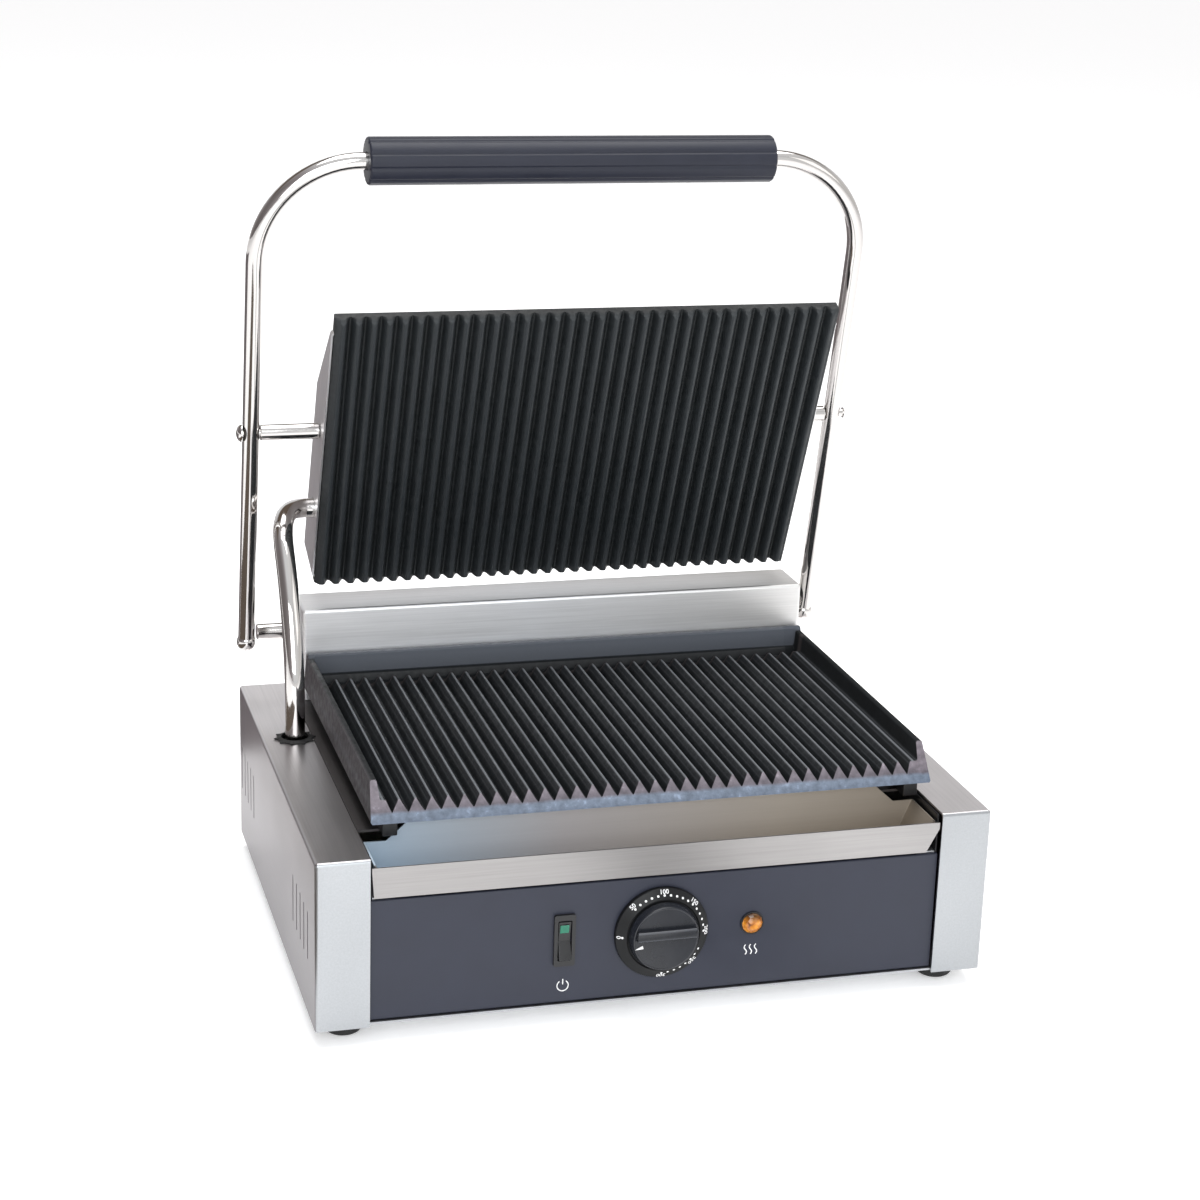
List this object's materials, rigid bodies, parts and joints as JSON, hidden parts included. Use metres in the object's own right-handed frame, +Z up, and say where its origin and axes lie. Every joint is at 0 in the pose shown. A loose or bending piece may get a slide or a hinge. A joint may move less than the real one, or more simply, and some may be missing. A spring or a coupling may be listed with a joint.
{
  "type": "panini press",
  "caption": "Countertop contact grill with ribbed cast-iron plates, a bail handle on a rear shaft, a drip tray, a thermostat knob and a rocker switch.",
  "frame": {"origin": "centre of the bounding box of the open press, at the level its feet stand on", "axes": "+X to the press's right as seen from the front, +Y to the rear, +Z up"},
  "size_m": [0.4166, 0.3314, 0.4888],
  "materials": {
    "left_cover": "brushed",
    "right_cover": "brushed",
    "top_deck": "mill finish",
    "rear_panel": "brushed",
    "inner_wall_left": "mill finish",
    "inner_wall_right": "mill finish",
    "bottom_plate": "galvanised",
    "front_panel": "satin slate",
    "drip_tray": "brushed",
    "tray_runner_left": "galvanised",
    "tray_runner_right": "galvanised",
    "lower_grill_plate": "seasoned",
    "upper_grill_plate": "seasoned",
    "lower_heater": "heat tinted",
    "upper_heater": "heat tinted",
    "lower_heater_clamp": "galvanised",
    "upper_heater_clamp": "galvanised",
    "hinge_housing": "brushed",
    "upper_cover": "polished",
    "shaft_bush_left": "plain",
    "shaft_bush_right": "plain",
    "torsion_spring_left": "oiled",
    "torsion_spring_right": "oiled",
    "shaft_collar_left": "zinc plated",
    "shaft_collar_right": "zinc plated",
    "hinge_shaft": "polished",
    "handle_rod": "polished",
    "ball_end_left": "polished",
    "ball_end_right": "polished",
    "pivot_spacer_left": "polished",
    "pivot_spacer_right": "polished",
    "pivot_screw_left": "polished",
    "pivot_screw_right": "polished",
    "conduit_tube": "polished",
    "conduit_locknut": "plain",
    "upper_heater_lead": "silicone sleeve",
    "pivot_block_left": "milled",
    "pivot_block_right": "milled",
    "handle_grip": "satin",
    "switch_body": "moulded",
    "rocker": "translucent green top",
    "dial_plate": "printed dots",
    "knob": "moulded",
    "thermostat_spindle": "plain",
    "thermostat_body": "plain",
    "capillary": "drawn",
    "indicator_lens": "translucent amber",
    "indicator_holder": "moulded",
    "terminal_block": "unglazed",
    "cord_gland": "moulded",
    "gland_locknut": "moulded",
    "plate_support_front_left": "black",
    "plate_support_front_right": "black",
    "plate_support_rear_left": "black",
    "plate_support_rear_right": "black",
    "foot_front_left": "moulded",
    "foot_front_right": "moulded",
    "foot_rear_left": "moulded",
    "foot_rear_right": "moulded"
  },
  "bodies": {
    "base": {"left_cover": "left_cover", "right_cover": "right_cover", "top_deck": "top_deck", "rear_panel": "rear_panel", "inner_wall_left": "inner_wall_left", "inner_wall_right": "inner_wall_right", "bottom_plate": "bottom_plate", "front_panel": "front_panel", "tray_runner_left": "tray_runner_left", "tray_runner_right": "tray_runner_right", "lower_grill_plate": "lower_grill_plate", "lower_heater": "lower_heater", "lower_heater_clamp": "lower_heater_clamp", "hinge_housing": "hinge_housing", "shaft_bush_left": "shaft_bush_left", "shaft_bush_right": "shaft_bush_right", "torsion_spring_left": "torsion_spring_left", "torsion_spring_right": "torsion_spring_right", "switch_body": "switch_body", "dial_plate": "dial_plate", "thermostat_body": "thermostat_body", "capillary": "capillary", "indicator_lens": "indicator_lens", "indicator_holder": "indicator_holder", "terminal_block": "terminal_block", "cord_gland": "cord_gland", "gland_locknut": "gland_locknut", "plate_support_front_left": "plate_support_front_left", "plate_support_front_right": "plate_support_front_right", "plate_support_rear_left": "plate_support_rear_left", "plate_support_rear_right": "plate_support_rear_right", "foot_front_left": "foot_front_left", "foot_front_right": "foot_front_right", "foot_rear_left": "foot_rear_left", "foot_rear_right": "foot_rear_right"},
    "handle": {"handle_rod": "handle_rod", "handle_grip": "handle_grip", "ball_end_left": "ball_end_left", "ball_end_right": "ball_end_right", "hinge_shaft": "hinge_shaft", "shaft_collar_left": "shaft_collar_left", "shaft_collar_right": "shaft_collar_right", "pivot_spacer_left": "pivot_spacer_left", "pivot_spacer_right": "pivot_spacer_right", "pivot_screw_left": "pivot_screw_left", "pivot_screw_right": "pivot_screw_right"},
    "upper_plate": {"upper_cover": "upper_cover", "upper_grill_plate": "upper_grill_plate", "upper_heater": "upper_heater", "upper_heater_clamp": "upper_heater_clamp", "pivot_block_left": "pivot_block_left", "pivot_block_right": "pivot_block_right", "conduit_tube": "conduit_tube", "conduit_locknut": "conduit_locknut", "upper_heater_lead": "upper_heater_lead"},
    "tray": {"drip_tray": "drip_tray"},
    "knob": {"knob": "knob", "thermostat_spindle": "thermostat_spindle"},
    "rocker": {"rocker": "rocker"}
  },
  "joints": [
    {"name": "handle_lift", "type": "hinge", "parent": "base", "child": "handle", "pos_m": [0.00725, 0.13294, 0.1576], "axis": [1, 0, 0], "range_deg": [0, 79.3]},
    {"name": "plate_tilt", "type": "hinge", "parent": "handle", "child": "upper_plate", "pos_m": [0.00725, 0.10384, 0.29934], "axis": [1, 0, 0], "range_deg": [-13, 0.5]},
    {"name": "tray_slide", "type": "slide", "parent": "base", "child": "tray", "axis": [0, -1, 0], "range_m": [0, 0.038]},
    {"name": "knob_turn", "type": "hinge", "parent": "base", "child": "knob", "pos_m": [0.00325, -0.15756, 0.054], "axis": [0, 1, 0], "range_deg": [0, 270]},
    {"name": "rocker_tilt", "type": "hinge", "parent": "base", "child": "rocker", "pos_m": [-0.05545, -0.15156, 0.054], "axis": [1, 0, 0], "range_deg": [0, 12]}
  ],
  "couplings": [
    {"joint": "plate_tilt", "follows": "handle_lift", "ratio": -0.1527}
  ]
}
